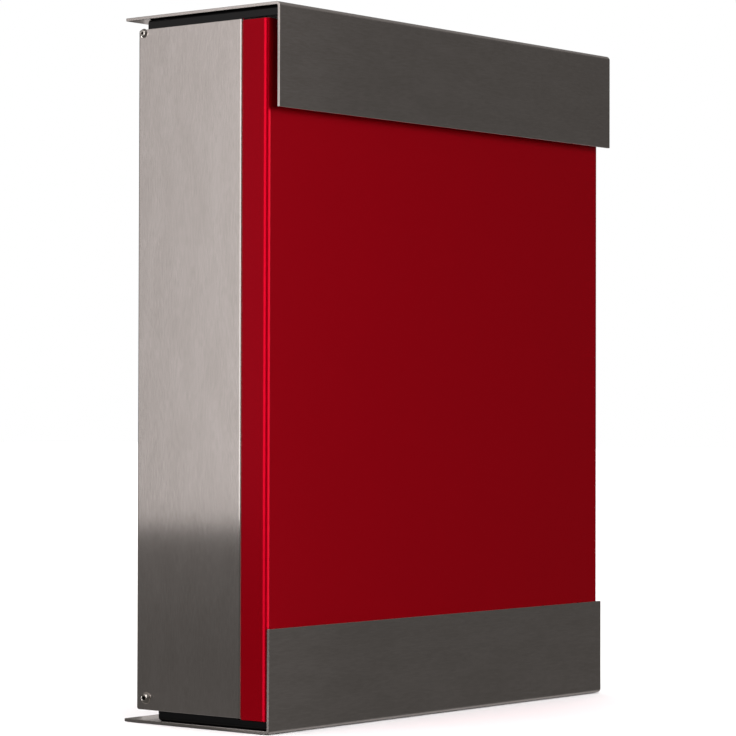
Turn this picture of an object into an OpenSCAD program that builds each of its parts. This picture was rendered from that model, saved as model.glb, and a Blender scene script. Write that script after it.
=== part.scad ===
// Wall letter box: a folded steel case with a coated front cover, a hood that lifts for posting
// and a flap that drops for emptying. Both swing on screws at the rear of the case's sides.
// X runs along the front, Y towards the wall and Z up. The box stands on Z = 0.

/* [Case] */
// Width of the case, and of the hood and the flap
case_w = 360; // [320:1:440]
// Depth of the case with its cover, from the cover's face to the back
case_depth = 111; // [95:1:150]
// Height of the case's walls
case_h = 438.2; // [380:0.1:520]
// Thickness of the case and cover sheet
sheet_t = 1.2; // [1:0.1:2]
// Inside radius of the case's bends and of the cover's rear bends
case_bend = 0.3; // [0.2:0.1:1]
// Width of the lips folded in at the front of the case
lip_w = 15; // [13:0.5:22]
// Rounding of the case's rear corners, seen from the side
case_corner_r = 2.8; // [1:0.1:5]

/* [Front cover] */
// Depth of the cover's side flanges, to the seam with the case
cover_depth = 21.4; // [15:0.1:30]
// How much lower than the case the cover hangs
cover_drop = 0.8; // [0:0.1:2]
// Inside radius of the cover's front bends
cover_bend = 2.1; // [1:0.1:3]
// Depth of the returns folded in at the cover's top and bottom
return_d = 14; // [11:0.5:18]
// Width of the notch between a return and the side flange
corner_notch = 9; // [8:0.5:14]
// Width of the relief slots at the ends of the returns
relief_w = 1.6; // [1:0.1:3]
// Rounding of the side flange's upper rear corner
flange_corner_r = 3; // [1:0.1:5]
// Number of studs up each side of the cover
cover_studs = 4; // [3:1:6]
// Distance of the end studs from the cover's ends
cover_stud_end = 45; // [35:1:70]

/* [Hood] */
// Thickness of the hood and flap plates
plate_t = 2; // [1.5:0.1:2.5]
// Inside radius of the bends of the hood and the flap
plate_bend = 1; // [0.5:0.1:3]
// Gap between the roof and the case
roof_gap = 6.7; // [6:0.1:9]
// Gap between the hood's band and the cover
hood_front_gap = 8.2; // [6:0.1:12]
// Height of the hood's band
hood_band_h = 65.8; // [40:0.1:90]
// How far the roof reaches behind the case
roof_back = 11.2; // [8:0.1:14]

/* [Flap] */
// Gap between the floor and the case
floor_gap = 6.6; // [5.5:0.1:9]
// Gap between the flap's band and the cover
flap_front_gap = 0.8; // [0.6:0.1:2]
// Height of the flap's band
flap_band_h = 65.4; // [40:0.1:90]
// How far the floor reaches behind the case
floor_back = 10.4; // [8:0.1:11]

/* [Brackets] */
// Thickness of the black brackets
bracket_t = 2; // [1.5:0.1:2.5]
// Inside radius of a bracket's bend
bracket_bend = 0.8; // [0.5:0.1:1.5]
// Play between the case's side and a bracket
side_play = 0.5; // [0.4:0.1:1]
// Width of the flange that is bolted to the plate
bracket_flange = 15; // [13:0.5:18]
// Distance of the hood brackets' rear edge from the case's back
hood_heel = 7; // [5:0.1:8]
// Distance of the flap brackets' rear edge from the case's back
flap_heel = 18.2; // [16:0.1:20]
// Depth of the hood brackets inside the case at their front
hood_web_front = 7; // [4:0.5:12]
// Depth of the hood brackets inside the case at the pivot
hood_web_rear = 14; // [10:0.5:20]
// Height of the flap brackets inside the case at their front
flap_web_front = 4; // [3:0.5:10]
// Clearance of the brackets over and under the case and its cover
bracket_clear = 0.4; // [0.3:0.1:1.5]
// Gap between a bracket's step and the case's lip
lip_clear = 1; // [0.5:0.1:2]
// Fillets in a bracket's inner corners
step_fillet = 2; // [1:0.1:2]
// Number of studs along each bracket
bracket_studs = 3; // [2:1:5]
// Distance of the end studs from the ends of the bolted stretch
bracket_stud_end = 12; // [8:1:20]

/* [Pivots] */
// Distance of the hood's pivot from the case's back
hood_pivot_back = 4.9; // [4.7:0.1:6]
// Distance of the hood's pivot below the case's top
hood_pivot_down = 2.4; // [2.3:0.1:3.5]
// Rounding of the hood brackets' corner around the pivot
hood_ear_r = 2.6; // [2.5:0.05:2.9]
// Diameter of the hood's pivot screws
hood_screw_d = 3; // [2.5:0.5:3]
// Diameter of their heads
hood_head_d = 6.2; // [5.5:0.1:7]
// Height of their heads
hood_head_h = 1.8; // [1.5:0.1:2.4]
// Width across the flats of the sockets in their heads
hood_socket = 2; // [1.5:0.1:2.5]
// Diameter of the hood pivots' washers
hood_washer_d = 5; // [4.5:0.1:5]
// Width across the flats of the hood pivots' lock nuts
hood_nut_af = 5.5; // [5:0.1:6]
// Height of the hood pivots' lock nuts
hood_nut_h = 4; // [3:0.1:5]
// Distance of the flap's pivot from the case's back
flap_pivot_back = 8.8; // [8:0.1:10]
// Distance of the flap's pivot above the case's bottom
flap_pivot_up = 7.6; // [7:0.1:9]
// Rounding of the flap brackets' ear around the pivot
flap_ear_r = 5.6; // [5:0.1:6]
// Diameter of the flap's pivot screws
flap_screw_d = 4; // [3:0.5:4]
// Diameter of their heads
flap_head_d = 7.6; // [7:0.1:9]
// Height of their heads
flap_head_h = 2.2; // [1.8:0.1:3]
// Width across the flats of the sockets in their heads
flap_socket = 2.5; // [2:0.1:3]
// Diameter of the flap pivots' washers
flap_washer_d = 8; // [7:0.1:9]
// Width across the flats of the flap pivots' lock nuts
flap_nut_af = 7; // [6.5:0.1:8]
// Height of the flap pivots' lock nuts
flap_nut_h = 5; // [4:0.1:6]
// Radial clearance of a bracket on its pivot
pivot_clear = 0.08; // [0.05:0.01:0.1]
// Clearance on each side of a bracket between its washers
washer_gap = 0.1; // [0.05:0.05:0.2]

/* [Fasteners] */
// Diameter of the weld studs
stud_d = 4; // [3:0.5:5]
// Width across the flats of their nuts
nut_af = 7; // [6:0.5:8]
// Height of their nuts
nut_h = 3.2; // [2.4:0.1:4]
// Stud left standing past its nut
stud_past = 1; // [0.5:0.1:1.4]
// Radial clearance of a thread in its nut or bore
thread_clear = 0.05; // [0.02:0.01:0.1]
// Radial clearance of a stud or screw in its hole
hole_clear = 0.25; // [0.1:0.05:0.5]
// Height of the round collar of a lock nut
collar_h = 1.2; // [0.8:0.1:1.6]
// Distance of that collar inside the nut's flats
collar_in = 0.3; // [0.1:0.1:0.6]
// Share of a button head's width that is flat
head_flat = 0.56; // [0.4:0.02:0.7]
// Depth of the hexagon sockets in the button heads
socket_deep = 1.1; // [0.8:0.1:1.3]

/* [Buffers] */
// Diameter of the rubber buffers
buffer_d = 10; // [8:0.5:11]
// Diameter of the buffers at their tip
buffer_tip_d = 8; // [5:0.5:8]
// Distance of the buffers from the case's sides
buffer_in = 30; // [25:1:60]
// Distance of the buffers from the cover's face
buffer_y = 8; // [7:0.5:9]
// Gap that a closed buffer leaves
buffer_gap = 0.3; // [0.2:0.1:0.5]

/* [Lock] */
// Distance of the lock's axis from the cover's face
lock_y = 38.5; // [36:0.5:42]
// Diameter of the lock's barrel
barrel_d = 18; // [16:0.5:19]
// Length of the barrel
barrel_len = 20; // [17:0.5:26]
// Diameter of the turning plug
plug_d = 11; // [9:0.5:11.5]
// Diameter of the plug's head
plug_head_d = 14; // [12.5:0.5:14.5]
// Thickness of the plug's head
plug_head_h = 2; // [1.5:0.1:3]
// Radial clearance of the plug in the barrel
plug_clear = 0.08; // [0.05:0.01:0.1]
// Thickness of the lock's base
base_t = 2; // [1.5:0.1:2.5]
// Width of the lock's base
base_w = 22; // [20:0.5:26]
// Distance of the base's studs from the lock's axis
base_stud_x = 16; // [15:0.5:19]
// Width of the keyway
keyway_w = 1.6; // [1:0.1:2.5]
// Length of the keyway
keyway_l = 7; // [5:0.5:8]
// Depth of the keyway
keyway_deep = 9; // [5:0.5:12]
// Thickness of the cam
cam_t = 2; // [1.5:0.1:2.5]
// Width of the cam
cam_w = 14; // [12:0.5:16]
// How far the locked cam lies over the cover's return
cam_catch = 4.5; // [3.5:0.5:8]
// Inside radius of the cam's bends
cam_bend = 0.8; // [0.5:0.1:1.2]
// Gap between the barrel and the cam's leg
cam_leg_gap = 3; // [2:0.5:4]
// How far the plug stands out of the barrel under the cam
plug_rise = 0.2; // [0.1:0.05:0.5]
// Clearance of the cam over the cover's return
cam_clear = 1.2; // [0.5:0.1:2]
// Width of the square that carries the cam
cam_square = 6; // [5:0.5:7]
// Diameter of the cam's screw
cam_screw_d = 3; // [2.5:0.5:3]
// Length of the cam's screw
cam_screw_len = 10; // [8:0.5:12]
// Diameter of its head
cam_head_d = 5.7; // [5:0.1:7]
// Height of its head
cam_head_h = 1.7; // [1.5:0.1:2.4]
// Width across the flats of the socket in its head
cam_socket = 2; // [1.5:0.1:2.5]
// Diameter of the cam's washer
cam_washer_d = 9; // [8.6:0.1:10]
// Thickness of the cam's washer
cam_washer_t = 0.8; // [0.5:0.1:1.2]

/* [Wall fixing] */
// Distance between the case's back and the wall
standoff = 17; // [16.5:0.5:30]
// Distance between the wall holes across
wall_pitch_x = 240; // [160:1:260]
// Distance between the wall holes up
wall_pitch_z = 300; // [200:1:300]
// Diameter of the wall screws' holes
wall_hole_d = 6.5; // [4.5:0.5:8]
// Diameter of the spacers
spacer_d = 20; // [16:0.5:30]
// Diameter of the spacers' necks in the case's back
spacer_neck_d = 11; // [10:0.5:14]

/* [Hidden] */
$fn = 64;
// How far a cut runs past the face that it opens
cut = 0.1;

// Levels from the floor up
case_z0 = plate_t + floor_gap;
case_z1 = case_z0 + case_h;
cover_z0 = case_z0 - cover_drop;
cover_z1 = case_z1 - cover_drop;
cover_h = cover_z1 - cover_z0;
roof_z0 = case_z1 + roof_gap;
total_h = roof_z0 + plate_t;

// Places from the front to the wall
total_depth = plate_t + hood_front_gap + case_depth + standoff;
wall_y = total_depth / 2;
back_y = wall_y - standoff;
front_y = back_y - case_depth;
seam_y = front_y + cover_depth;
hood_front_y = front_y - hood_front_gap - plate_t;
flap_front_y = front_y - flap_front_gap - plate_t;

// Outside radii of the bends
case_r = case_bend + sheet_t;
cover_r = cover_bend + sheet_t;
plate_r = plate_bend + plate_t;
bracket_r = bracket_bend + bracket_t;
cam_r = cam_bend + cam_t;

// Pivots
hood_pivot_y = back_y - hood_pivot_back;
hood_pivot_z = case_z1 - hood_pivot_down;
flap_pivot_y = back_y - flap_pivot_back;
flap_pivot_z = case_z0 + flap_pivot_up;

// Outer face of the brackets, and the places along them
bracket_x = case_w / 2 - sheet_t - side_play;
behind_lip = seam_y + sheet_t + lip_clear + step_fillet;
hood_heel_y = back_y - hood_heel;
flap_heel_y = back_y - flap_heel;
bracket_stud_x = bracket_x - (bracket_r + bracket_flange) / 2;
nut_and_end = nut_h + stud_past;

// Levels of the brackets' strips, between the bend and the case
hood_strip_z0 = case_z1 + bracket_clear;
hood_strip_z1 = roof_z0 - bracket_r;
flap_strip_z0 = plate_t + bracket_r;
flap_strip_z1 = cover_z0 - bracket_clear;

// Place across of the studs that hold the cover on the lips
cover_stud_x = case_w / 2 - (case_r + lip_w) / 2;

// Washers of the pivots fill the side play but for the gap
washer_t = side_play - washer_gap;

// Lock and cam: the cam sits on the plug, and its leg reaches down outside the barrel
lock_axis_y = front_y + lock_y;
cam_reach = lock_y - return_d + cam_catch;
cam_seat_z = barrel_len + plug_rise;
cam_low_z = cover_z0 + sheet_t + cam_clear;
cam_leg_x = barrel_d / 2 + cam_leg_gap;

// Evenly spaced places, with the first and the last at the ends
function spread(first, last, count) = [for (i = [0 : count - 1]) first + (last - first) * i / (count - 1)];

// Heights of the cover's studs, and places of the brackets' studs
cover_stud_z = spread(cover_z0 + cover_stud_end, cover_z1 - cover_stud_end, cover_studs);
hood_stud_y = spread(behind_lip + bracket_stud_end, hood_heel_y - bracket_stud_end, bracket_studs);
flap_stud_y = spread(behind_lip + bracket_stud_end, flap_heel_y - bracket_stud_end, bracket_studs);

steel = "#b3aea8";
red_coat = "#8a0310";
black_coat = "#1e1e20";
zinc = "#c9c9c6";
nickel = "#d2cfc8";
rubber = "#262626";
nylon = "#e6e4dc";

// Draws its children and their mirror image
module both_sides() {
    children();
    mirror([1, 0, 0]) children();
}

// Draws a profile of Y and Z out along X, about the middle
module along_x(length) {
    rotate([90, 0, 90]) linear_extrude(length, center = true) children();
}

// Draws a profile of X and Z out along Y
module along_y(from, to) {
    translate([0, to, 0]) rotate([90, 0, 0]) linear_extrude(to - from) children();
}

// A quarter turn of bent sheet, from the direction +X to +Y
module bend(inside_r, t) {
    intersection() {
        difference() {
            circle(inside_r + t);
            circle(inside_r);
        }
        square(inside_r + t);
    }
}

// What lies between a square corner at the origin and its rounding, towards -X and -Y:
// taken off, it rounds a corner, and put in, it fillets one
module corner_piece(r) {
    difference() {
        translate([-r, -r]) square(r + cut);
        translate([-r, -r]) circle(r);
    }
}

// A hexagon nut along +Z
module hex_nut() {
    difference() {
        rotate(30) cylinder(d = nut_af / cos(30), h = nut_h, $fn = 6);
        translate([0, 0, -cut]) cylinder(d = stud_d + 2 * thread_clear, h = nut_h + 2 * cut);
    }
}

// A lock nut along +X, a flat towards the wall, with the round collar that holds its plastic ring
module lock_nut(screw_d, af, h) {
    rotate([0, 90, 0]) difference() {
        union() {
            rotate(30) cylinder(d = af / cos(30), h = h - collar_h, $fn = 6);
            cylinder(d = af - 2 * collar_in, h = h);
        }
        translate([0, 0, -cut]) cylinder(d = screw_d + 2 * thread_clear, h = h + 2 * cut);
    }
}

// A plain washer along +X
module washer(d, screw_d, t) {
    rotate([0, 90, 0]) difference() {
        cylinder(d = d, h = t);
        translate([0, 0, -cut]) cylinder(d = screw_d + 2 * thread_clear, h = t + 2 * cut);
    }
}

// A button-head screw: the shank runs along +X from the origin and the domed head to -X. The
// dome is the part of a sphere through the head's rim and the edge of its flat.
module button_screw(d, length, head_d, head_h, socket) {
    head_r = head_d / 2;
    flat_r = head_r * head_flat;
    dome_z = (flat_r ^ 2 + head_h ^ 2 - head_r ^ 2) / (2 * head_h);
    dome_r = sqrt(head_r ^ 2 + dome_z ^ 2);
    translate([-cut, 0, 0]) rotate([0, 90, 0]) cylinder(d = d, h = length + cut);
    rotate([0, -90, 0]) difference() {
        intersection() {
            cylinder(r = head_r, h = head_h);
            translate([0, 0, dome_z]) sphere(dome_r);
        }
        translate([0, 0, head_h - socket_deep])
            cylinder(d = socket / cos(30), h = socket_deep + cut, $fn = 6);
    }
}

// Half of the case's section: back, side and lip, with the two bends between them
module case_half() {
    translate([0, back_y - sheet_t]) square([case_w / 2 - case_r, sheet_t]);
    translate([case_w / 2 - case_r, back_y - case_r]) bend(case_bend, sheet_t);
    translate([case_w / 2 - sheet_t, seam_y + case_r])
        square([sheet_t, back_y - seam_y - 2 * case_r]);
    translate([case_w / 2 - case_r, seam_y + case_r]) rotate(-90) bend(case_bend, sheet_t);
    translate([case_w / 2 - lip_w, seam_y]) square([lip_w - case_r, sheet_t]);
}

// Rounds the upper rear corner of a side wall over the width of its bend, or the lower one
// where flip is 1
module side_corner_cut(r, y, z, flip) {
    translate([case_w / 2, y, z]) mirror([0, 0, flip]) along_x(2 * case_r) corner_piece(r);
}

// Holes through both side walls for a pair of pivot screws
module side_holes(y, z, d) {
    translate([0, y, z]) rotate([0, 90, 0])
        cylinder(d = d + 2 * pivot_clear, h = case_w + 2 * cut, center = true);
}

// Places of the studs of the cover, on one side
module at_cover_studs(y) {
    for (z = cover_stud_z) translate([cover_stud_x, y, z]) rotate([-90, 0, 0]) children();
}

// Places of the wall screws, at a depth
module at_wall_holes(y) {
    for (x = [-1, 1], z = [-1, 1])
        translate([x * wall_pitch_x / 2, y, (case_z0 + case_z1) / 2 + z * wall_pitch_z / 2])
            rotate([-90, 0, 0]) children();
}

// Back, sides and lips, folded from one sheet of stainless steel; open at the top and the bottom
module case_shell() {
    color(steel) difference() {
        translate([0, 0, case_z0]) linear_extrude(case_h) both_sides() case_half();
        both_sides() {
            side_corner_cut(case_corner_r, back_y, case_z1, 0);
            side_corner_cut(case_corner_r, back_y, case_z0, 1);
            at_cover_studs(seam_y - cut) cylinder(d = stud_d + 2 * hole_clear, h = sheet_t + 2 * cut);
        }
        side_holes(hood_pivot_y, hood_pivot_z, hood_screw_d);
        side_holes(flap_pivot_y, flap_pivot_z, flap_screw_d);
        at_wall_holes(back_y - sheet_t - cut)
            cylinder(d = spacer_neck_d + 2 * thread_clear, h = sheet_t + 2 * cut);
    }
}

// Section of the cover's side: the face's edge, the front bend, the flange and the rear return
module cover_side_half() {
    translate([case_w / 2 - corner_notch, front_y]) square([corner_notch - cover_r, sheet_t]);
    translate([case_w / 2 - cover_r, front_y + cover_r]) rotate(-90) bend(cover_bend, sheet_t);
    translate([case_w / 2 - sheet_t, front_y + cover_r])
        square([sheet_t, cover_depth - cover_r - case_r]);
    translate([case_w / 2 - case_r, seam_y - case_r]) bend(case_bend, sheet_t);
    translate([case_w / 2 - lip_w, seam_y - sheet_t]) square([lip_w - case_r, sheet_t]);
}

// Section of the cover's middle: the face with the returns folded in at its top and bottom
module cover_middle() {
    translate([front_y, cover_z0 + cover_r]) square([sheet_t, cover_h - 2 * cover_r]);
    for (end = [0, 1]) translate([front_y, cover_z0 + end * cover_h]) mirror([0, end]) {
        translate([cover_r, cover_r]) rotate(180) bend(cover_bend, sheet_t);
        translate([cover_r, 0]) square([return_d - cover_r, sheet_t]);
    }
}

// The coated front: a tray of one sheet, with relief slots where the returns end and studs
// welded to the side flanges' returns
module front_cover() {
    slot_h = cover_r + relief_w;
    color(red_coat) {
        along_x(case_w - 2 * (corner_notch + relief_w)) cover_middle();
        translate([-case_w / 2 + corner_notch - cut, front_y, cover_z0 + slot_h])
            cube([case_w - 2 * corner_notch + 2 * cut, sheet_t, cover_h - 2 * slot_h]);
        both_sides() {
            difference() {
                translate([0, 0, cover_z0]) linear_extrude(cover_h) cover_side_half();
                side_corner_cut(flange_corner_r, seam_y, cover_z1, 0);
            }
            at_cover_studs(seam_y - sheet_t / 2)
                cylinder(d = stud_d, h = sheet_t / 2 + sheet_t + nut_and_end);
        }
    }
}

// Nuts that pull the cover's returns against the lips
module cover_nuts() {
    color(zinc) both_sides() at_cover_studs(seam_y + sheet_t) hex_nut();
}

// Plastic spacers that keep the case off the wall, so that hood and flap can swing behind it;
// their necks sit in the case's back and the wall screws pass through them
module wall_spacers() {
    color(rubber) at_wall_holes(back_y) difference() {
        union() {
            cylinder(d = spacer_d, h = standoff);
            translate([0, 0, -sheet_t]) cylinder(d = spacer_neck_d, h = sheet_t + cut);
        }
        translate([0, 0, -sheet_t - cut]) cylinder(d = wall_hole_d, h = sheet_t + standoff + 2 * cut);
    }
}

// The screws on which the brackets turn, both sides alike, from outside
module pivot_screws(y, z, d, head_d, head_h, socket, lock_nut_h) {
    reach = sheet_t + side_play + bracket_t + washer_gap + washer_t + lock_nut_h + stud_past;
    color(zinc) both_sides() translate([-case_w / 2, y, z])
        button_screw(d, reach, head_d, head_h, socket);
}

// Plastic washers on both faces of each bracket
module pivot_washers(y, z, washer_d, screw_d) {
    color(nylon) both_sides() for (x = [-case_w / 2 + sheet_t, -bracket_x + bracket_t + washer_gap])
        translate([x, y, z]) washer(washer_d, screw_d, washer_t);
}

// Lock nuts on the screws' inner ends
module pivot_nuts(y, z, screw_d, af, h) {
    color(zinc) both_sides() translate([-bracket_x + bracket_t + washer_gap + washer_t, y, z])
        lock_nut(screw_d, af, h);
}

module hood_pivot_screws() {
    pivot_screws(hood_pivot_y, hood_pivot_z, hood_screw_d, hood_head_d, hood_head_h, hood_socket,
        hood_nut_h);
}

module hood_pivot_washers() {
    pivot_washers(hood_pivot_y, hood_pivot_z, hood_washer_d, hood_screw_d);
}

module hood_pivot_nuts() {
    pivot_nuts(hood_pivot_y, hood_pivot_z, hood_screw_d, hood_nut_af, hood_nut_h);
}

module flap_pivot_screws() {
    pivot_screws(flap_pivot_y, flap_pivot_z, flap_screw_d, flap_head_d, flap_head_h, flap_socket,
        flap_nut_h);
}

module flap_pivot_washers() {
    pivot_washers(flap_pivot_y, flap_pivot_z, flap_washer_d, flap_screw_d);
}

module flap_pivot_nuts() {
    pivot_nuts(flap_pivot_y, flap_pivot_z, flap_screw_d, flap_nut_af, flap_nut_h);
}

// Section of a plate with its band turned up at the front: the outer corner is at the origin
module plate_section(depth, band_h) {
    translate([plate_r, 0]) square([depth - plate_r, plate_t]);
    translate([plate_r, plate_r]) rotate(180) bend(plate_bend, plate_t);
    translate([0, plate_r]) square([plate_t, band_h - plate_r]);
}

// Roof and band of the hood, folded from one plate, with the brackets' studs under the roof
module hood_plate() {
    color(steel) {
        translate([0, hood_front_y, total_h]) along_x(case_w) mirror([0, 1])
            plate_section(back_y + roof_back - hood_front_y, hood_band_h);
        both_sides() for (y = hood_stud_y)
            translate([bracket_stud_x, y, roof_z0 - bracket_t - nut_and_end])
                cylinder(d = stud_d, h = bracket_t + nut_and_end + plate_t / 2);
    }
}

// Section of a bracket with its outer corner at the origin: flange, bend and strip
module bracket_section(strip_h) {
    translate([-bracket_flange, -bracket_t]) square([bracket_flange - bracket_r, bracket_t]);
    translate([-bracket_r, -bracket_r]) bend(bracket_bend, bracket_t);
    translate([-bracket_t, -bracket_r - strip_h]) square([bracket_t, strip_h]);
}

// Side outline of a hood bracket: a strip over the case's edge, and behind the lip a web that
// reaches down inside the case to the pivot. Its rear edge, the heel, stops on the case's back.
module hood_bracket_outline() {
    ear_y = hood_pivot_y + hood_ear_r;
    translate([hood_front_y + plate_t, hood_strip_z0])
        square([hood_heel_y - hood_front_y - plate_t, hood_strip_z1 - hood_strip_z0]);
    polygon([
        [behind_lip, hood_strip_z1], [hood_heel_y, hood_strip_z1],
        [hood_heel_y, hood_pivot_z], [ear_y, hood_pivot_z],
        [ear_y, case_z1 - hood_web_rear], [behind_lip, case_z1 - hood_web_front]
    ]);
    translate([hood_pivot_y, hood_pivot_z]) circle(hood_ear_r);
    translate([behind_lip, hood_strip_z0]) corner_piece(step_fillet);
}

// A black coated bracket under the roof's right edge: the web and the flange bolted to the roof
module hood_bracket() {
    color(black_coat) difference() {
        union() {
            translate([bracket_x - bracket_t / 2, 0, 0]) along_x(bracket_t) hood_bracket_outline();
            along_y(hood_front_y + plate_r, hood_heel_y) translate([bracket_x, roof_z0])
                bracket_section(hood_strip_z1 - hood_strip_z0);
        }
        side_holes(hood_pivot_y, hood_pivot_z, hood_screw_d);
        for (y = hood_stud_y) translate([bracket_stud_x, y, roof_z0 - bracket_t - cut])
            cylinder(d = stud_d + 2 * hole_clear, h = bracket_t + 2 * cut);
    }
}

module hood_bracket_right() {
    hood_bracket();
}

module hood_bracket_left() {
    mirror([1, 0, 0]) hood_bracket();
}

// Nuts under the hood brackets' flanges
module hood_nuts() {
    color(zinc) both_sides() for (y = hood_stud_y)
        translate([bracket_stud_x, y, roof_z0 - bracket_t - nut_h]) hex_nut();
}

// A tapered rubber buffer along +Z, glued on at its wide end
module buffer(h) {
    cylinder(d1 = buffer_d, d2 = buffer_tip_d, h = h);
}

// Buffers under the roof, which land on the cover's top return
module hood_buffers() {
    color(rubber) both_sides()
        translate([case_w / 2 - buffer_in, front_y + buffer_y, roof_z0]) mirror([0, 0, 1])
            buffer(roof_z0 - cover_z1 - buffer_gap);
}

// Floor and band of the flap, folded from one plate, with studs for the brackets and the lock
module flap_plate() {
    color(steel) {
        difference() {
            translate([0, flap_front_y, 0]) along_x(case_w)
                plate_section(back_y + floor_back - flap_front_y, flap_band_h);
            translate([0, lock_axis_y, -cut])
                cylinder(d = barrel_d + 2 * hole_clear, h = plate_t + 2 * cut);
        }
        both_sides() {
            for (y = flap_stud_y) translate([bracket_stud_x, y, plate_t / 2])
                cylinder(d = stud_d, h = plate_t / 2 + bracket_t + nut_and_end);
            translate([base_stud_x, lock_axis_y, plate_t / 2])
                cylinder(d = stud_d, h = plate_t / 2 + base_t + nut_and_end);
        }
    }
}

// Side outline of a flap bracket: a strip under the case's edge, and behind the lip a web that
// rises inside the case to an ear round the pivot
module flap_bracket_outline() {
    ear_z0 = flap_pivot_z - flap_ear_r;
    translate([flap_front_y + plate_t, flap_strip_z0])
        square([flap_heel_y - flap_front_y - plate_t, flap_strip_z1 - flap_strip_z0]);
    polygon([
        [behind_lip, flap_strip_z0], [flap_heel_y, flap_strip_z0], [flap_heel_y, ear_z0],
        [flap_pivot_y, ear_z0], [flap_pivot_y, flap_pivot_z + flap_ear_r],
        [behind_lip, case_z0 + flap_web_front]
    ]);
    translate([flap_pivot_y, flap_pivot_z]) circle(flap_ear_r);
    translate([behind_lip, flap_strip_z1]) mirror([0, 1]) corner_piece(step_fillet);
    translate([flap_heel_y, ear_z0]) mirror([1, 0]) corner_piece(step_fillet);
}

// A black coated bracket on the floor's right edge
module flap_bracket() {
    color(black_coat) difference() {
        union() {
            translate([bracket_x - bracket_t / 2, 0, 0]) along_x(bracket_t) flap_bracket_outline();
            along_y(flap_front_y + plate_r, flap_heel_y) translate([bracket_x, plate_t])
                mirror([0, 1]) bracket_section(flap_strip_z1 - flap_strip_z0);
        }
        side_holes(flap_pivot_y, flap_pivot_z, flap_screw_d);
        for (y = flap_stud_y) translate([bracket_stud_x, y, plate_t - cut])
            cylinder(d = stud_d + 2 * hole_clear, h = bracket_t + 2 * cut);
    }
}

module flap_bracket_right() {
    flap_bracket();
}

module flap_bracket_left() {
    mirror([1, 0, 0]) flap_bracket();
}

// Nuts on the flap brackets' flanges
module flap_nuts() {
    color(zinc) both_sides() for (y = flap_stud_y)
        translate([bracket_stud_x, y, plate_t + bracket_t]) hex_nut();
}

// Buffers on the floor, which meet the cover's bottom return
module flap_buffers() {
    color(rubber) both_sides()
        translate([case_w / 2 - buffer_in, front_y + buffer_y, plate_t])
            buffer(cover_z0 - plate_t - buffer_gap);
}

// Lock body: the barrel passes through the floor, level with its underside, and the base is
// bolted on inside
module lock_case() {
    color(nickel) translate([0, lock_axis_y, 0]) difference() {
        union() {
            cylinder(d = barrel_d, h = barrel_len);
            translate([0, 0, plate_t]) linear_extrude(base_t) {
                square([2 * base_stud_x, base_w], center = true);
                for (x = [-base_stud_x, base_stud_x]) translate([x, 0]) circle(d = base_w);
            }
        }
        translate([0, 0, -cut]) cylinder(d = plug_d + 2 * plug_clear, h = barrel_len + 2 * cut);
        translate([0, 0, -cut])
            cylinder(d = plug_head_d + 2 * plug_clear, h = plug_head_h + plug_clear + cut);
        for (x = [-base_stud_x, base_stud_x]) translate([x, 0, plate_t - cut])
            cylinder(d = stud_d + 2 * hole_clear, h = base_t + 2 * cut);
    }
}

// Nuts on the lock's base
module lock_nuts() {
    color(zinc) both_sides() translate([base_stud_x, lock_axis_y, plate_t + base_t]) hex_nut();
}

// The turning plug: head with a keyway, body, and the square that carries the cam
module lock_plug() {
    color(nickel) translate([0, lock_axis_y, 0]) difference() {
        union() {
            cylinder(d = plug_head_d, h = plug_head_h);
            cylinder(d = plug_d, h = cam_seat_z);
            translate([-cam_square / 2, -cam_square / 2, cam_seat_z - cut])
                cube([cam_square, cam_square, cam_t + cut]);
        }
        translate([-keyway_l / 2, -keyway_w / 2, -cut]) cube([keyway_l, keyway_w, keyway_deep + cut]);
        translate([0, 0, cam_seat_z + cam_t + cam_washer_t - cam_screw_len - cut])
            cylinder(d = cam_screw_d + 2 * thread_clear, h = cam_screw_len + 2 * cut);
    }
}

// Side view of the cam: flat on the plug, down the leg, and flat again over the return
module cam_section() {
    leg_out = cam_leg_x + cam_t;
    cam_top = cam_seat_z + cam_t;
    translate([-cam_w / 2, cam_seat_z]) square([cam_w / 2 + leg_out - cam_r, cam_t]);
    translate([leg_out - cam_r, cam_top - cam_r]) bend(cam_bend, cam_t);
    translate([cam_leg_x, cam_low_z + cam_r]) square([cam_t, cam_top - cam_low_z - 2 * cam_r]);
    translate([cam_leg_x + cam_r, cam_low_z + cam_r]) rotate(180) bend(cam_bend, cam_t);
    translate([cam_leg_x + cam_r, cam_low_z]) square([cam_reach - cam_leg_x - cam_r, cam_t]);
}

// The cranked cam, shown unlocked along +X; locked, it points to the front over the return
module lock_cam() {
    hole = cam_square + 2 * thread_clear;
    color(zinc) translate([0, lock_axis_y, 0]) difference() {
        intersection() {
            along_y(-cam_w / 2, cam_w / 2) cam_section();
            linear_extrude(cam_seat_z + 2 * cam_t) {
                circle(d = cam_w);
                translate([0, -cam_w / 2]) square([cam_reach - cam_w / 2, cam_w]);
                translate([cam_reach - cam_w / 2, 0]) circle(d = cam_w);
            }
        }
        translate([-hole / 2, -hole / 2, cam_seat_z - cut]) cube([hole, hole, cam_t + 2 * cut]);
    }
}

// Washer that spans the cam's square hole
module cam_washer() {
    color(zinc) translate([0, lock_axis_y, cam_seat_z + cam_t + cam_washer_t]) rotate([0, 90, 0])
        washer(cam_washer_d, cam_screw_d, cam_washer_t);
}

// Screw that holds the cam on the plug
module cam_screw() {
    color(zinc) translate([0, lock_axis_y, cam_seat_z + cam_t + cam_washer_t]) rotate([0, 90, 0])
        button_screw(cam_screw_d, cam_screw_len, cam_head_d, cam_head_h, cam_socket);
}

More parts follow.
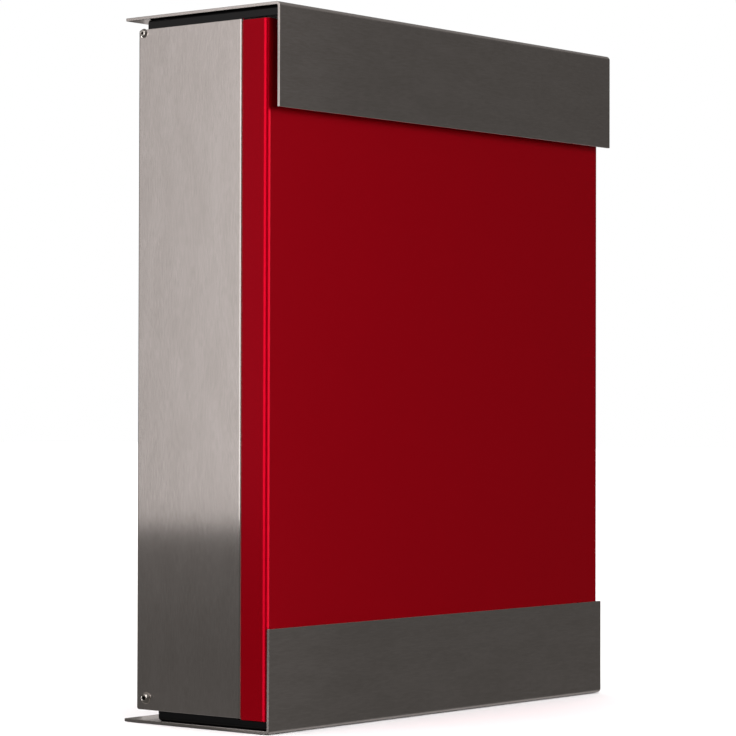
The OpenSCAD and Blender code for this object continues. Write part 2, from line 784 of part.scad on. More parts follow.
case_shell();
front_cover();
cover_nuts();
wall_spacers();
hood_pivot_screws();
hood_pivot_washers();
hood_pivot_nuts();
flap_pivot_screws();
flap_pivot_washers();
flap_pivot_nuts();
hood_plate();
hood_bracket_left();
hood_bracket_right();
hood_nuts();
hood_buffers();
flap_plate();
flap_bracket_left();
flap_bracket_right();
flap_nuts();
flap_buffers();
lock_case();
lock_nuts();
lock_plug();
lock_cam();
cam_washer();
cam_screw();
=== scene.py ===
import math

import bmesh
import bpy
from mathutils import Matrix, Vector


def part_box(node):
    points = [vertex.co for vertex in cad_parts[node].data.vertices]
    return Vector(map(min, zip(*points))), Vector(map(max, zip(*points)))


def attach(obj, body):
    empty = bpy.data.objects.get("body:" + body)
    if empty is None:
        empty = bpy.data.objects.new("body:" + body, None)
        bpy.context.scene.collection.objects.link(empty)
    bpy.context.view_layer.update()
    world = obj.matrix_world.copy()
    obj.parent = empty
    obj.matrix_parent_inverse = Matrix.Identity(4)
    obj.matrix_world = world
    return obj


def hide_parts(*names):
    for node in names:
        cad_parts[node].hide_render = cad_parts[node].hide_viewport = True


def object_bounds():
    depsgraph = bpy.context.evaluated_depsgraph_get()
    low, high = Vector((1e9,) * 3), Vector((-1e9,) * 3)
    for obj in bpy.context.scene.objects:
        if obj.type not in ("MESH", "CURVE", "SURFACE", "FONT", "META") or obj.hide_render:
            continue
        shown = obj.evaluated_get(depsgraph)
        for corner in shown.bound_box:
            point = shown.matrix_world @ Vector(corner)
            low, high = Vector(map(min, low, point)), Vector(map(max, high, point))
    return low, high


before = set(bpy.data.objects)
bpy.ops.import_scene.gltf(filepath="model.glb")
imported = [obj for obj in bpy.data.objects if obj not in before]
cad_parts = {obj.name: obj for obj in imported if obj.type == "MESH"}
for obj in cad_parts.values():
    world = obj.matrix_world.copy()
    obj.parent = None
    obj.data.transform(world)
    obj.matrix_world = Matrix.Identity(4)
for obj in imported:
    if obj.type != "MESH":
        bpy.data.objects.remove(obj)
cad_box = [list(corner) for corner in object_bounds()]


# Case
# Back, two sides and the lips behind the cover, folded from one brushed stainless sheet.
# The brush ran up the sheet before it was folded, and its cut edges were deburred.

MM = 0.001
CASE_DEBURR = 0.15 * MM
# What the solid's mesh needs before its edges are rounded: one vertex per corner and whole faces
MERGE_GAP = 0.001 * MM
FLAT_ANGLE = math.radians(0.5)
SHARP_ANGLE = math.radians(30)

STEEL_COLOUR = "#d0cac7"
STEEL_STREAK = "#c4beba"
CASE_ROUGHNESS = 0.17
ROUGHNESS_SWING = 0.006
# Brush lines are about 0.1 mm wide; they are drawn 0.9 mm wide, or they would not show
BRUSH_WIDTH = 0.9 * MM
BRUSH_LENGTH = 6.5 * MM
BRUSH_DEPTH = 0.02 * MM
BRUSH_RELIEF = 0.02
# Slow change in the pressure of the brush
DRIFT_WIDTH = 11 * MM
DRIFT_LENGTH = 5 * BRUSH_LENGTH
DRIFT_SHARE = 0.5
# Part of the summed noise that takes the colour from plain to streaked, and the gloss from end to end
STREAK_FROM, STREAK_TO = 0.55, 0.95
SWING_FROM, SWING_TO = 0.5, 1


def deburred_copy(node, name, radius, segments=2):
    """A copy of a node's solid with every sharp edge rounded off"""
    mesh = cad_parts[node].data.copy()
    solid = bmesh.new()
    solid.from_mesh(mesh)
    bmesh.ops.remove_doubles(solid, verts=solid.verts, dist=MERGE_GAP)
    bmesh.ops.dissolve_limit(
        solid, angle_limit=FLAT_ANGLE, verts=solid.verts, edges=solid.edges
    )
    for face in solid.faces:
        face.smooth = True
    for edge in solid.edges:
        edge.smooth = True
    solid.to_mesh(mesh)
    solid.free()
    mesh.materials.clear()
    piece = bpy.data.objects.new(name, mesh)
    bpy.context.scene.collection.objects.link(piece)
    rounding = piece.modifiers.new("deburred edges", "BEVEL")
    rounding.width = radius
    rounding.segments = segments
    rounding.limit_method = "ANGLE"
    rounding.angle_limit = SHARP_ANGLE
    rounding.use_clamp_overlap = False
    shading = piece.modifiers.new("flat faces stay flat", "WEIGHTED_NORMAL")
    shading.mode = "FACE_AREA"
    return piece


def linear(colour):
    """The linear colour of an sRGB hex value"""
    parts = [int(colour[i : i + 2], 16) / 255 for i in (1, 3, 5)]
    return [c / 12.92 if c <= 0.04045 else ((c + 0.055) / 1.055) ** 2.4 for c in parts] + [1]


def add(tree, kind, inputs, **settings):
    """Adds a node to a tree: settings are its own, and inputs are values or sockets to link"""
    node = tree.nodes.new(kind)
    for key, value in settings.items():
        setattr(node, key, value)
    for key, value in inputs.items():
        if isinstance(value, bpy.types.NodeSocket):
            tree.links.new(value, node.inputs[key])
        else:
            node.inputs[key].default_value = value
    return node


def new_material(name):
    """An empty material and its tree"""
    material = bpy.data.materials.new(name)
    material.use_nodes = True
    material.node_tree.nodes.clear()
    return material, material.node_tree


def brushed_stainless(name, grain, roughness):
    """Brushed 1.4301 sheet: the lines give a wide gloss across the grain and a short one along it.
    grain is the axis along which the sheet was brushed, X or Z."""
    material, tree = new_material(name)
    along = {"X": 0, "Z": 2}[grain]
    fine = [1 / BRUSH_WIDTH] * 3
    fine[along] = 1 / BRUSH_LENGTH
    slow = [1 / DRIFT_WIDTH] * 3
    slow[along] = 1 / DRIFT_LENGTH
    place = add(tree, "ShaderNodeTexCoord", {}).outputs["Object"]
    lines_place = add(tree, "ShaderNodeMapping", {"Vector": place, "Scale": fine})
    lines = add(tree, "ShaderNodeTexNoise", {
        "Vector": lines_place.outputs["Vector"], "Scale": 1, "Detail": 3, "Roughness": 0.6,
    })
    drift_place = add(tree, "ShaderNodeMapping", {"Vector": place, "Scale": slow})
    drift = add(tree, "ShaderNodeTexNoise", {
        "Vector": drift_place.outputs["Vector"], "Scale": 1, "Detail": 2, "Roughness": 0.5,
    })
    streak = add(tree, "ShaderNodeMath", {
        0: drift.outputs["Fac"], 1: DRIFT_SHARE, 2: lines.outputs["Fac"],
    }, operation="MULTIPLY_ADD")
    shade = add(tree, "ShaderNodeMapRange", {
        "Value": streak.outputs[0], "From Min": STREAK_FROM, "From Max": STREAK_TO,
        "To Min": 0, "To Max": 1,
    })
    colour = add(tree, "ShaderNodeMix", {
        "Factor": shade.outputs["Result"], "A": linear(STEEL_COLOUR), "B": linear(STEEL_STREAK),
    }, data_type="RGBA")
    rough = add(tree, "ShaderNodeMapRange", {
        "Value": streak.outputs[0], "From Min": SWING_FROM, "From Max": SWING_TO,
        "To Min": roughness - ROUGHNESS_SWING, "To Max": roughness + ROUGHNESS_SWING,
    })
    relief = add(tree, "ShaderNodeBump", {
        "Height": lines.outputs["Fac"], "Strength": BRUSH_RELIEF, "Distance": BRUSH_DEPTH,
    })
    across = add(tree, "ShaderNodeTangent", {}, direction_type="RADIAL", axis=grain)
    surface = add(tree, "ShaderNodeBsdfPrincipled", {
        "Base Color": colour.outputs["Result"], "Metallic": 1, "Roughness": rough.outputs["Result"],
        "Anisotropic": 1, "Tangent": across.outputs["Tangent"], "Normal": relief.outputs["Normal"],
    })
    add(tree, "ShaderNodeOutputMaterial", {"Surface": surface.outputs["BSDF"]})
    return material


case_sheet = deburred_copy("case_shell", "case_sheet", CASE_DEBURR)
case_sheet.data.materials.append(brushed_stainless("stainless brushed upwards", "Z", CASE_ROUGHNESS))
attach(case_sheet, "case")
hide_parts("case_shell")


# Front cover
# A tray folded from one sheet, with studs welded on inside, and powder coated red after that.
# The coat is a smooth satin film with a trace of metal in it, so that its gloss is red too.

COVER_DEBURR = 0.2 * MM
RED_COLOUR = "#b10013"
RED_DEEP = "#ae0013"
RED_TINT = (1.0, 0.05, 0.24, 1)
RED_METAL = 0.22
RED_GLOSS = 0.2
RED_SMOOTH, RED_ROUGH = 0.21, 0.22
# Slight unevenness of the baked film, and the slow change in how thick it was sprayed
FILM_WAVE = 3 * MM
FILM_CLOUD = 20 * FILM_WAVE
FILM_DEPTH = 0.02 * MM
FILM_RELIEF = 0.005
# The middle of a noise, which is all that it often reaches
NOISE_LOW, NOISE_HIGH = 0.3, 0.7


def red_powder_coat():
    """Baked red powder over the sheet: deep and even, and darker where it sees little light"""
    material, tree = new_material("red satin coat")
    place = add(tree, "ShaderNodeTexCoord", {}).outputs["Object"]
    film = add(tree, "ShaderNodeTexNoise", {
        "Vector": place, "Scale": 1 / FILM_WAVE, "Detail": 2, "Roughness": 0.5,
    })
    cloud = add(tree, "ShaderNodeTexNoise", {
        "Vector": place, "Scale": 1 / FILM_CLOUD, "Detail": 2, "Roughness": 0.5,
    })
    colour = add(tree, "ShaderNodeMix", {
        "Factor": cloud.outputs["Fac"], "A": linear(RED_COLOUR), "B": linear(RED_DEEP),
    }, data_type="RGBA")
    rough = add(tree, "ShaderNodeMapRange", {
        "Value": film.outputs["Fac"], "From Min": NOISE_LOW, "From Max": NOISE_HIGH,
        "To Min": RED_SMOOTH, "To Max": RED_ROUGH,
    })
    relief = add(tree, "ShaderNodeBump", {
        "Height": film.outputs["Fac"], "Strength": FILM_RELIEF, "Distance": FILM_DEPTH,
    })
    surface = add(tree, "ShaderNodeBsdfPrincipled", {
        "Base Color": colour.outputs["Result"], "Metallic": RED_METAL,
        "Specular IOR Level": RED_GLOSS, "Specular Tint": RED_TINT,
        "Roughness": rough.outputs["Result"], "Normal": relief.outputs["Normal"],
    })
    add(tree, "ShaderNodeOutputMaterial", {"Surface": surface.outputs["BSDF"]})
    return material


cover_sheet = deburred_copy("front_cover", "cover_sheet", COVER_DEBURR)
cover_sheet.data.materials.append(red_powder_coat())
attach(cover_sheet, "case")
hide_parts("front_cover")


# Cover nuts
# Eight small steel nuts, cold formed and zinc plated, run down on the cover's studs.
# The plating is a little cloudy, and the nuts' edges are soft.

NUT_EDGE = 0.18 * MM
ZINC_COLOUR = "#c8c9c8"
ZINC_CLOUD = "#b4b5b2"
ZINC_CLOUD_SIZE = 2.5 * MM
ZINC_SMOOTH, ZINC_ROUGH = 0.28, 0.4


def zinc_plating():
    """Bright zinc on steel: pale grey, with soft clouds a few millimetres wide"""
    material, tree = new_material("zinc plating")
    place = add(tree, "ShaderNodeTexCoord", {}).outputs["Object"]
    cloud = add(tree, "ShaderNodeTexNoise", {
        "Vector": place, "Scale": 1 / ZINC_CLOUD_SIZE, "Detail": 3, "Roughness": 0.55,
    })
    colour = add(tree, "ShaderNodeMix", {
        "Factor": cloud.outputs["Fac"], "A": linear(ZINC_COLOUR), "B": linear(ZINC_CLOUD),
    }, data_type="RGBA")
    rough = add(tree, "ShaderNodeMapRange", {
        "Value": cloud.outputs["Fac"], "From Min": NOISE_LOW, "From Max": NOISE_HIGH,
        "To Min": ZINC_SMOOTH, "To Max": ZINC_ROUGH,
    })
    surface = add(tree, "ShaderNodeBsdfPrincipled", {
        "Base Color": colour.outputs["Result"], "Metallic": 1, "Roughness": rough.outputs["Result"],
    })
    add(tree, "ShaderNodeOutputMaterial", {"Surface": surface.outputs["BSDF"]})
    return material


zinc = zinc_plating()
cover_nut_set = deburred_copy("cover_nuts", "cover_nut_set", NUT_EDGE)
cover_nut_set.data.materials.append(zinc)
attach(cover_nut_set, "case")
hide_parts("cover_nuts")


# Wall spacers
# Four round spacers moulded in black polyamide, pressed into the holes of the case's back.
# The mould leaves them matt, with a fine grain.

SPACER_EDGE = 0.4 * MM
SPACER_EDGE_STEPS = 3
BLACK_PLASTIC = "#232323"
BLACK_PLASTIC_GRAIN = "#2b2b2a"
PLASTIC_ROUGHNESS = 0.55
POLYAMIDE_IOR = 1.53
# Eroded grain is about 0.1 mm; it is drawn 0.6 mm, or it would not show
MOULD_GRAIN = 0.6 * MM
MOULD_DEPTH = 0.05 * MM
MOULD_RELIEF = 0.25


def moulded_black_plastic():
    """Polyamide from a lightly eroded mould: dark, matt and finely grained"""
    material, tree = new_material("moulded black polyamide")
    place = add(tree, "ShaderNodeTexCoord", {}).outputs["Object"]
    grain = add(tree, "ShaderNodeTexNoise", {
        "Vector": place, "Scale": 1 / MOULD_GRAIN, "Detail": 2, "Roughness": 0.6,
    })
    colour = add(tree, "ShaderNodeMix", {
        "Factor": grain.outputs["Fac"], "A": linear(BLACK_PLASTIC), "B": linear(BLACK_PLASTIC_GRAIN),
    }, data_type="RGBA")
    relief = add(tree, "ShaderNodeBump", {
        "Height": grain.outputs["Fac"], "Strength": MOULD_RELIEF, "Distance": MOULD_DEPTH,
    })
    surface = add(tree, "ShaderNodeBsdfPrincipled", {
        "Base Color": colour.outputs["Result"], "Roughness": PLASTIC_ROUGHNESS, "IOR": POLYAMIDE_IOR,
        "Normal": relief.outputs["Normal"],
    })
    add(tree, "ShaderNodeOutputMaterial", {"Surface": surface.outputs["BSDF"]})
    return material


spacer_set = deburred_copy("wall_spacers", "spacer_set", SPACER_EDGE, SPACER_EDGE_STEPS)
spacer_set.data.materials.append(moulded_black_plastic())
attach(spacer_set, "case")
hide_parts("wall_spacers")


# Pivot screws
# Button-head screws of stainless steel, the small ones for the hood and the larger for the flap.
# The heads are cold headed and tumbled bright. Their hex sockets get a dark copy of the steel:
# painted shade, because little light reaches into the recess.

SCREW_EDGE = 0.12 * MM
SCREW_COLOUR = "#cfcac4"
SCREW_CLOUD = "#b9b4ad"
SCREW_ROUGHNESS = 0.1
# The sockets' dark colours are painted shade: the recess is coloured as dark as the shade inside it
SOCKET_SHADE_COLOUR = "#2c2b29"
SOCKET_SHADE_CLOUD = "#191918"
SOCKET_ROUGHNESS = 0.3
MOTTLE_SIZE = 0.8 * MM
MOTTLE_SWING = 0.06
# How far the sockets reach from the screw's axis and down from its top
SOCKET_REACH = 1.3 * MM
SOCKET_DEPTH = 1.2 * MM


def tumbled_stainless(name, colour, cloud, roughness):
    """Cold-headed stainless, tumbled until it is bright and faintly mottled"""
    material, tree = new_material(name)
    place = add(tree, "ShaderNodeTexCoord", {}).outputs["Object"]
    mottle = add(tree, "ShaderNodeTexNoise", {
        "Vector": place, "Scale": 1 / MOTTLE_SIZE, "Detail": 2, "Roughness": 0.5,
    })
    mixed = add(tree, "ShaderNodeMix", {
        "Factor": mottle.outputs["Fac"], "A": linear(colour), "B": linear(cloud),
    }, data_type="RGBA")
    rough = add(tree, "ShaderNodeMapRange", {
        "Value": mottle.outputs["Fac"], "From Min": NOISE_LOW, "From Max": NOISE_HIGH,
        "To Min": roughness, "To Max": roughness + MOTTLE_SWING,
    })
    surface = add(tree, "ShaderNodeBsdfPrincipled", {
        "Base Color": mixed.outputs["Result"], "Metallic": 1, "Roughness": rough.outputs["Result"],
    })
    add(tree, "ShaderNodeOutputMaterial", {"Surface": surface.outputs["BSDF"]})
    return material


head_steel = tumbled_stainless("tumbled stainless", SCREW_COLOUR, SCREW_CLOUD, SCREW_ROUGHNESS)
# A dark copy of the same steel, which paints shade into the sockets
socket_shade_steel = tumbled_stainless(
    "stainless darkened as painted socket shade", SOCKET_SHADE_COLOUR, SOCKET_SHADE_CLOUD, SOCKET_ROUGHNESS
)
screw_pairs = []
for which in ("hood", "flap"):
    screws = deburred_copy(f"{which}_pivot_screws", f"{which}_pivot_screw_pair", SCREW_EDGE)
    screw_pairs.append(screws)
    screws.data.materials.append(head_steel)
    screws.data.materials.append(socket_shade_steel)
    low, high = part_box(f"{which}_pivot_screws")
    axis_y = (low[1] + high[1]) / 2
    axis_z = (low[2] + high[2]) / 2
    # Faces inside the sockets get the dark copy: painted shade in the recess
    for face in screws.data.polygons:
        off_axis = math.hypot(face.center.y - axis_y, face.center.z - axis_z)
        below_top = high[0] - abs(face.center.x)
        if off_axis < SOCKET_REACH and SCREW_EDGE < below_top < SOCKET_DEPTH:
            face.material_index = 1
    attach(screws, "case")
    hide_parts(f"{which}_pivot_screws")


# Pivot washers
# Thin washers stamped from natural nylon, on both faces of each bracket.
# Nylon is milky and lets a little light in.

WASHER_EDGE = 0.08 * MM
NYLON_COLOUR = "#e4e1d6"
NYLON_WARM = "#dcd7c6"
NYLON_TONE_SIZE = 1.5 * MM
NYLON_ROUGHNESS = 0.45
NYLON_MILK = 0.2
NYLON_LIGHT_REACH = (1 * MM, 0.9 * MM, 0.7 * MM)


def natural_nylon():
    """Undyed polyamide sheet: milky, satin, a little uneven in tone"""
    material, tree = new_material("natural nylon")
    place = add(tree, "ShaderNodeTexCoord", {}).outputs["Object"]
    tone = add(tree, "ShaderNodeTexNoise", {
        "Vector": place, "Scale": 1 / NYLON_TONE_SIZE, "Detail": 2, "Roughness": 0.5,
    })
    colour = add(tree, "ShaderNodeMix", {
        "Factor": tone.outputs["Fac"], "A": linear(NYLON_COLOUR), "B": linear(NYLON_WARM),
    }, data_type="RGBA")
    surface = add(tree, "ShaderNodeBsdfPrincipled", {
        "Base Color": colour.outputs["Result"], "Roughness": NYLON_ROUGHNESS, "IOR": POLYAMIDE_IOR,
        "Subsurface Weight": NYLON_MILK, "Subsurface Radius": NYLON_LIGHT_REACH,
        "Subsurface Scale": 1,
    })
    add(tree, "ShaderNodeOutputMaterial", {"Surface": surface.outputs["BSDF"]})
    return material


nylon = natural_nylon()
for which in ("hood", "flap"):
    washers = deburred_copy(f"{which}_pivot_washers", f"{which}_pivot_washer_set", WASHER_EDGE)
    washers.data.materials.append(nylon)
    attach(washers, "case")
    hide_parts(f"{which}_pivot_washers")


# Pivot nuts
# Lock nuts on the screws' inner ends, each with its collar towards the middle of the case.
# They are steel, cold formed and zinc plated like the cover's nuts.

for which in ("hood", "flap"):
    nuts = deburred_copy(f"{which}_pivot_nuts", f"{which}_pivot_nut_pair", NUT_EDGE)
    nuts.data.materials.append(zinc)
    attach(nuts, "case")
    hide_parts(f"{which}_pivot_nuts")


# Hood and flap plates
# Roof and floor with their bands, folded from thicker stainless plate, brushed along the front.
# The laser-cut edges were ground and broken by hand.

PLATE_DEBURR = 0.25 * MM
PLATE_ROUGHNESS = 0.22

plate_steel = brushed_stainless("stainless brushed across", "X", PLATE_ROUGHNESS)
plates = {}
for which in ("hood", "flap"):
    plate = deburred_copy(f"{which}_plate", f"{which}_sheet", PLATE_DEBURR)
    plates[which] = plate
    plate.data.materials.append(plate_steel)
    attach(plate, which)
    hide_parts(f"{which}_plate")


# Brackets
# Folded steel brackets that carry hood and flap, powder coated satin black with their edges broken.
# The coat hides the sheet's grain and has a fine orange peel.

BRACKET_DEBURR = 0.25 * MM
BLACK_COAT = "#08080a"
BLACK_COAT_LIGHT = "#0b0b0d"
BLACK_ROUGHNESS = 0.3
BLACK_GLOSS = 0.25
COAT_IOR = 1.5
PEEL_SIZE = 0.9 * MM
PEEL_DEPTH = 0.05 * MM
PEEL_RELIEF = 0.2


def black_powder_coat():
    """Baked black powder: satin, with a fine peel"""
    material, tree = new_material("black satin coat")
    place = add(tree, "ShaderNodeTexCoord", {}).outputs["Object"]
    peel = add(tree, "ShaderNodeTexNoise", {
        "Vector": place, "Scale": 1 / PEEL_SIZE, "Detail": 2, "Roughness": 0.5,
    })
    colour = add(tree, "ShaderNodeMix", {
        "Factor": peel.outputs["Fac"], "A": linear(BLACK_COAT), "B": linear(BLACK_COAT_LIGHT),
    }, data_type="RGBA")
    relief = add(tree, "ShaderNodeBump", {
        "Height": peel.outputs["Fac"], "Strength": PEEL_RELIEF, "Distance": PEEL_DEPTH,
    })
    surface = add(tree, "ShaderNodeBsdfPrincipled", {
        "Base Color": colour.outputs["Result"], "Roughness": BLACK_ROUGHNESS, "IOR": COAT_IOR,
        "Specular IOR Level": BLACK_GLOSS, "Normal": relief.outputs["Normal"],
    })
    add(tree, "ShaderNodeOutputMaterial", {"Surface": surface.outputs["BSDF"]})
    return material


black_coat = black_powder_coat()
for which in ("hood", "flap"):
    for side in ("left", "right"):
        node = f"{which}_bracket_{side}"
        bracket = deburred_copy(node, f"{node}_coated", BRACKET_DEBURR)
        bracket.data.materials.append(black_coat)
        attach(bracket, which)
        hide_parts(node)


# Bracket nuts
# Six nuts on each plate's studs, which hold the brackets' flanges against it.
# They are the same zinc-plated nuts as on the cover.

for which in ("hood", "flap"):
    nuts = deburred_copy(f"{which}_nuts", f"{which}_nut_set", NUT_EDGE)
    nuts.data.materials.append(zinc)
    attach(nuts, which)
    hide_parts(f"{which}_nuts")


# Buffers
# Tapered rubber buffers, moulded and then glued to roof and floor.
# They take up the knock as hood and flap close.

BUFFER_EDGE = 0.8 * MM
BUFFER_EDGE_STEPS = 4
RUBBER_COLOUR = "#1e1e1e"
RUBBER_DUST = "#2a2a29"
RUBBER_BLOOM_SIZE = 2 * MM
RUBBER_ROUGHNESS = 0.7
RUBBER_IOR = 1.52


def moulded_rubber():
    """Matt black rubber with a faint bloom"""
    material, tree = new_material("moulded rubber")
    place = add(tree, "ShaderNodeTexCoord", {}).outputs["Object"]
    bloom = add(tree, "ShaderNodeTexNoise", {
        "Vector": place, "Scale": 1 / RUBBER_BLOOM_SIZE, "Detail": 3, "Roughness": 0.6,
    })
    colour = add(tree, "ShaderNodeMix", {
        "Factor": bloom.outputs["Fac"], "A": linear(RUBBER_COLOUR), "B": linear(RUBBER_DUST),
    }, data_type="RGBA")
    surface = add(tree, "ShaderNodeBsdfPrincipled", {
        "Base Color": colour.outputs["Result"], "Roughness": RUBBER_ROUGHNESS, "IOR": RUBBER_IOR,
    })
    add(tree, "ShaderNodeOutputMaterial", {"Surface": surface.outputs["BSDF"]})
    return material


rubber = moulded_rubber()
for which in ("hood", "flap"):
    buffers = deburred_copy(
        f"{which}_buffers", f"{which}_buffer_pair", BUFFER_EDGE, BUFFER_EDGE_STEPS
    )
    buffers.data.materials.append(rubber)
    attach(buffers, which)
    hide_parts(f"{which}_buffers")


# Lock
# A cam lock: die-cast and nickel-plated case and plug, and a cranked, zinc-plated cam.
# The case is bolted to the flap's floor, and the plug turns in it with the cam.

LOCK_EDGE = 0.25 * MM
NICKEL_COLOUR = "#d8d3c9"
NICKEL_CLOUD = "#ccc6ba"
NICKEL_FLOW_SIZE = 3 * MM
NICKEL_SMOOTH, NICKEL_ROUGH = 0.14, 0.22


def nickel_plating():
    """Nickel on a zinc casting: warm and bright, with a trace of the casting's flow"""
    material, tree = new_material("nickel plating")
    place = add(tree, "ShaderNodeTexCoord", {}).outputs["Object"]
    flow = add(tree, "ShaderNodeTexNoise", {
        "Vector": place, "Scale": 1 / NICKEL_FLOW_SIZE, "Detail": 2, "Roughness": 0.5,
    })
    colour = add(tree, "ShaderNodeMix", {
        "Factor": flow.outputs["Fac"], "A": linear(NICKEL_COLOUR), "B": linear(NICKEL_CLOUD),
    }, data_type="RGBA")
    rough = add(tree, "ShaderNodeMapRange", {
        "Value": flow.outputs["Fac"], "From Min": NOISE_LOW, "From Max": NOISE_HIGH,
        "To Min": NICKEL_SMOOTH, "To Max": NICKEL_ROUGH,
    })
    surface = add(tree, "ShaderNodeBsdfPrincipled", {
        "Base Color": colour.outputs["Result"], "Metallic": 1, "Roughness": rough.outputs["Result"],
    })
    add(tree, "ShaderNodeOutputMaterial", {"Surface": surface.outputs["BSDF"]})
    return material


nickel = nickel_plating()
for node, body, slot, finish, edge in (
    ("lock_case", "flap", "nickel", nickel, LOCK_EDGE),
    ("lock_nuts", "flap", "zinc_plate", zinc, LOCK_EDGE),
    ("lock_plug", "lock", "nickel", nickel, LOCK_EDGE),
    ("lock_cam", "lock", "zinc_plate", zinc, LOCK_EDGE),
    ("cam_washer", "lock", "zinc_plate", zinc, LOCK_EDGE),
    ("cam_screw", "lock", "zinc_plate", zinc, SCREW_EDGE),
):
    piece = deburred_copy(node, f"{node}_finished", edge)
    piece.data.materials.append(finish)
    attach(piece, body)
    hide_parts(node)


# Floor
# A plain, pale painted board on which the box stands for its picture.
# It is matt, and the box's steel doesn't mirror it.

FLOOR_HALF = 12
FLOOR_DROP = 0.4 * MM
FLOOR_COLOUR = "#eff0f2"
FLOOR_CLOUD = "#edeef0"
FLOOR_CLOUDS_PER_METRE = 6
FLOOR_ROUGHNESS = 0.9
FLOOR_GLOSS = 0.1


def pale_floor():
    """Matt paint on board: nearly white, with faint clouds from the roller"""
    material, tree = new_material("pale painted board")
    place = add(tree, "ShaderNodeTexCoord", {}).outputs["Object"]
    tone = add(tree, "ShaderNodeTexNoise", {
        "Vector": place, "Scale": FLOOR_CLOUDS_PER_METRE, "Detail": 2,
    })
    colour = add(tree, "ShaderNodeMix", {
        "Factor": tone.outputs["Fac"], "A": linear(FLOOR_COLOUR), "B": linear(FLOOR_CLOUD),
    }, data_type="RGBA")
    surface = add(tree, "ShaderNodeBsdfPrincipled", {
        "Base Color": colour.outputs["Result"], "Roughness": FLOOR_ROUGHNESS,
        "Specular IOR Level": FLOOR_GLOSS,
    })
    add(tree, "ShaderNodeOutputMaterial", {"Surface": surface.outputs["BSDF"]})
    return material


floor_grid = bmesh.new()
bmesh.ops.create_grid(floor_grid, x_segments=8, y_segments=8, size=FLOOR_HALF)
floor_mesh = bpy.data.meshes.new("floor")
floor_grid.to_mesh(floor_mesh)
floor_grid.free()
floor = bpy.data.objects.new("floor", floor_mesh)
floor.location.z = cad_box[0][2] - FLOOR_DROP
floor.visible_glossy = False
floor.visible_diffuse = False
floor_mesh.materials.append(pale_floor())
bpy.context.scene.collection.objects.link(floor)


# Studio lights
# Soft cards and boards round the box, in metres. Each shows either in the gloss or in the matt
# colours, because the steel takes its look from what it mirrors and the floor from plain light.

LIGHT_COLOUR = "#fffaf9"
CARD_DISTANCE = 1.5
# The case's front left corner, from which the cards' compass angles count, from +X towards +Y
CORNER = Vector((cad_box[0][0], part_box("front_cover")[0][1], 0))


def area_light(name, size_x, size_y, radiance, shows_in, receivers=()):
    """A flat light of one brightness all over, which the camera doesn't see. It shows in the gloss or
    in the colour, and it lights only its receivers where it has any."""
    light = bpy.data.lights.new(name, "AREA")
    light.shape = "RECTANGLE"
    light.size = size_x
    light.size_y = size_y
    light.energy = radiance * math.pi * size_x * size_y
    light.color = linear(LIGHT_COLOUR)[:3]
    stand = bpy.data.objects.new(name, light)
    stand.visible_camera = False
    stand.visible_diffuse = shows_in == "colour"
    stand.visible_glossy = shows_in == "gloss"
    if receivers:
        lit = bpy.data.collections.new(f"lit by the {name}")
        for receiver in receivers:
            lit.objects.link(receiver)
        stand.light_linking.receiver_collection = lit
    bpy.context.scene.collection.objects.link(stand)
    return stand


def card(name, angles, heights, radiance, shows_in="gloss", receivers=(), distance=CARD_DISTANCE):
    """An upright card between two compass angles and two heights, facing the corner. Of cards that
    overlap in one plane only one counts, so each of those has its own distance."""
    middle = math.radians(sum(angles) / 2)
    width = 2 * distance * math.tan(math.radians((angles[1] - angles[0]) / 2))
    stand = area_light(name, width, heights[1] - heights[0], radiance, shows_in, receivers)
    towards = Vector((math.cos(middle), math.sin(middle), 0))
    stand.location = CORNER + towards * distance + Vector((0, 0, sum(heights) / 2))
    stand.rotation_euler = towards.to_track_quat("Z", "Y").to_euler()


def board(name, low, high, height, radiance, receivers):
    """A board that lies face up between two corners and shows in the gloss of its receivers"""
    stand = area_light(name, high[0] - low[0], high[1] - low[1], radiance, "gloss", receivers)
    stand.location = ((low[0] + high[0]) / 2, (low[1] + high[1]) / 2, height)
    stand.rotation_euler.x = math.pi


# The side panel mirrors a card that ends above the box's foot, with less and less light below it
card("soft card beside the case", (126, 150), (0.07, 1.6), 0.66)
card("soft card on the left", (150, 205), (0.109, 1.2), 1.65, distance=0.6)
card("dim wall beside the case", (112, 165), (-0.6, 0.07), 0.02)
card("faint glow low beside the case", (112, 165), (-0.06, 0.074), 0.012, distance=1.4)
card("faint glow under the soft card", (112, 165), (-0.007, 0.0775), 0.018, distance=1.3)

# The cover's rounded left edge mirrors two bright strips, and the rest of the front a dim wall
card("bright strip on the left", (162, 211), (-0.4, 1.6), 4, receivers=[cover_sheet])
card("bright strip in front", (256, 309), (-0.4, 1.6), 5.4, receivers=[cover_sheet])
card("dim wall on the right", (312, 321), (-0.4, 1.6), 0.025)

# The screws' round heads mirror two small lamps
card("small lamp on the left", (176, 190), (0.2, 0.7), 9, receivers=screw_pairs)
card("small lamp behind", (70, 84), (-0.5, 0.1), 9, receivers=screw_pairs)

# The coats and the plastics are lit from the left and the front
card("soft light from the left", (150, 180), (-0.6, 0.9), 3, "colour")
card("soft light from the front", (233, 280), (0.1, 1.35), 3.6, "colour", distance=2.2)

# Stands close behind the box, so the rear of roof and floor mirrors its left edge sharply
PAPER_LEFT = -0.145
PAPER_WIDTH = 0.32
PAPER_GAP = 0.011
PAPER_RADIANCE = 0.45
paper = area_light(
    "white paper behind", PAPER_WIDTH, cad_box[1][2], PAPER_RADIANCE, "gloss", plates.values()
)
paper.location = (PAPER_LEFT + PAPER_WIDTH / 2, cad_box[1][1] + PAPER_GAP, cad_box[1][2] / 2)
paper.rotation_euler = Vector((0, 1, 0)).to_track_quat("Z", "Y").to_euler()

# Lie deep under the box on the right, where only the flap's bend and the hood's lower edge mirror them
board("board under the flap", (0.12, -0.24), (0.68, 0.16), -0.3, 0.3, [plates["flap"]])
board("board under the hood", (0.55, -0.55), (1.35, 0.35), -0.3, 0.5, [plates["hood"]])

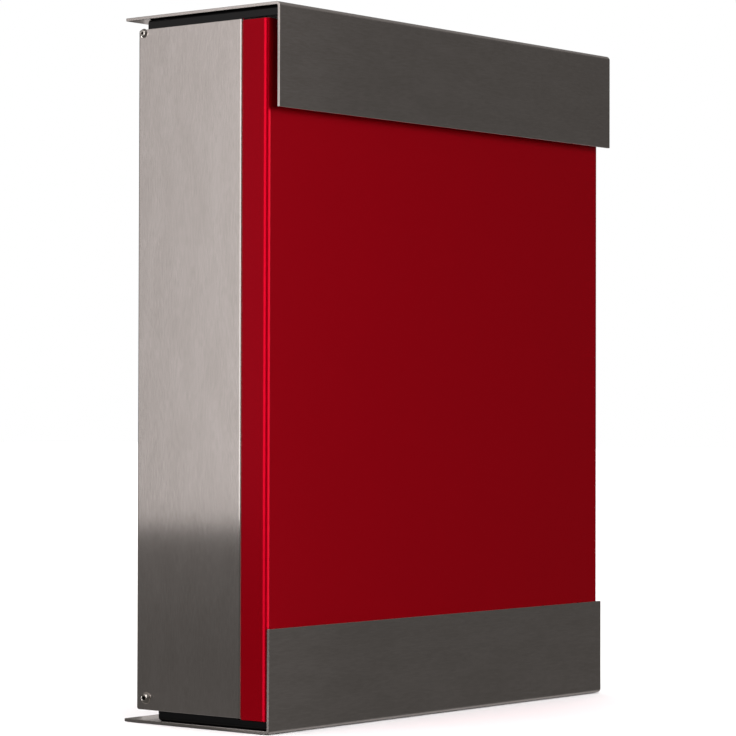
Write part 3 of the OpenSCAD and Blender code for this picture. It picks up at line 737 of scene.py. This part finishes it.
# Low boards that the upright faces mirror only in a view from above
board("low board on the left", (-2.8, -2.8), (-0.3, 2.8), -0.5, 0.35, [case_sheet, cover_sheet])
board("low board behind", (-0.3, 0.3), (2.8, 2.8), -0.5, 0.35, [case_sheet, cover_sheet])

CEILING_SIZE = 9
CEILING_HEIGHT = 3
CEILING_RADIANCE = 0.18
ceiling = area_light("ceiling card", CEILING_SIZE, CEILING_SIZE, CEILING_RADIANCE, "gloss")
ceiling.location.z = CEILING_HEIGHT

# Keeps the floor near white, with a soft shadow under the box
SKY_SIZE = 40
SKY_HEIGHT = 4
SKY_RADIANCE = 1.6
over_floor = area_light("light over the floor", SKY_SIZE, SKY_SIZE, SKY_RADIANCE, "colour", [floor])
over_floor.location.z = SKY_HEIGHT

# The camera sees white behind the floor, and the box a grey room
ROOM_COLOUR = "#5b5957"
BACKDROP_COLOUR = "#ffffff"
world = bpy.data.worlds.new("studio")
world.use_nodes = True
world.node_tree.nodes.clear()
seen = add(world.node_tree, "ShaderNodeLightPath", {}).outputs["Is Camera Ray"]
backdrop = add(world.node_tree, "ShaderNodeBackground", {"Color": linear(BACKDROP_COLOUR)})
room = add(world.node_tree, "ShaderNodeBackground", {"Color": linear(ROOM_COLOUR)})
either = add(world.node_tree, "ShaderNodeMixShader", {
    0: seen, 1: room.outputs[0], 2: backdrop.outputs[0],
})
add(world.node_tree, "ShaderNodeOutputWorld", {"Surface": either.outputs[0]})
bpy.context.scene.world = world
bpy.context.scene.view_settings.view_transform = "Standard"


# Camera
# Stands left of the box and in front of it, a little below the middle of its height.
# A long lens keeps the upright edges nearly parallel.

EYE = Vector((-1.52895, -1.24409, 0.20039))
YAW, PITCH, ROLL = (math.radians(a) for a in (39.291, 0.871, 0.137))
FOCAL_LENGTH = 141.27
FILM_WIDTH = 36
FAR_END = 50

ahead = Vector((math.cos(YAW) * math.cos(PITCH), math.sin(YAW) * math.cos(PITCH), math.sin(PITCH)))
level = Vector((math.sin(YAW), -math.cos(YAW), 0))
over = level.cross(ahead)
right = level * math.cos(ROLL) + over * math.sin(ROLL)
up = over * math.cos(ROLL) - level * math.sin(ROLL)
lens = bpy.data.cameras.new("long lens")
lens.sensor_width = FILM_WIDTH
lens.lens = FOCAL_LENGTH
lens.clip_end = FAR_END
camera = bpy.data.objects.new("camera", lens)
turned = Matrix((right, up, -ahead)).transposed()
camera.matrix_world = Matrix.Translation(EYE) @ turned.to_4x4()
bpy.context.scene.collection.objects.link(camera)
bpy.context.scene.camera = camera
